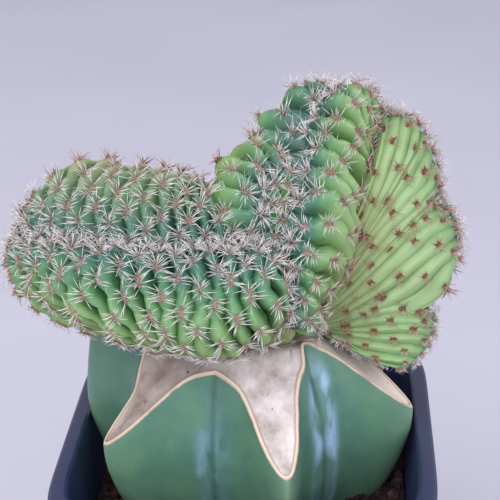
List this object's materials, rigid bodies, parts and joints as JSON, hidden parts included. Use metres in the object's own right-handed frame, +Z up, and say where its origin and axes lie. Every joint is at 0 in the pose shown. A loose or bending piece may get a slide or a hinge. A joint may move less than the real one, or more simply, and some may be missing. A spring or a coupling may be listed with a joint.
{
  "type": "potted crested cactus on a grafting rootstock",
  "caption": "Crested, brain-like spiny cactus grafted on a ribbed rootstock with bevelled, dried cut faces, standing in soil in a square plastic nursery pot.",
  "frame": {"origin": "middle of the pot's flat underside", "axes": "+Z up through the pot; -Y towards the viewer, the side from which the picture is taken; +X to that viewer's right"},
  "size_m": [0.0933, 0.075, 0.1433],
  "materials": {
    "pot_plastic": "navy-black moulded polypropylene, satin, lighter and bluish where it is handled at the lip",
    "soil": "moist dark brown potting mix with crumbs and grit",
    "rootstock_skin": "smooth blue-green skin with a pale waxy bloom and beige, corky dried cut faces",
    "crest_flesh": "glossy green ribs with dark grooves, woolly areoles and cream to rust-brown spines"
  },
  "bodies": {
    "root": {"pot": "pot_plastic", "soil": "soil", "rootstock": "rootstock_skin", "crest": "crest_flesh"}
  },
  "joints": []
}
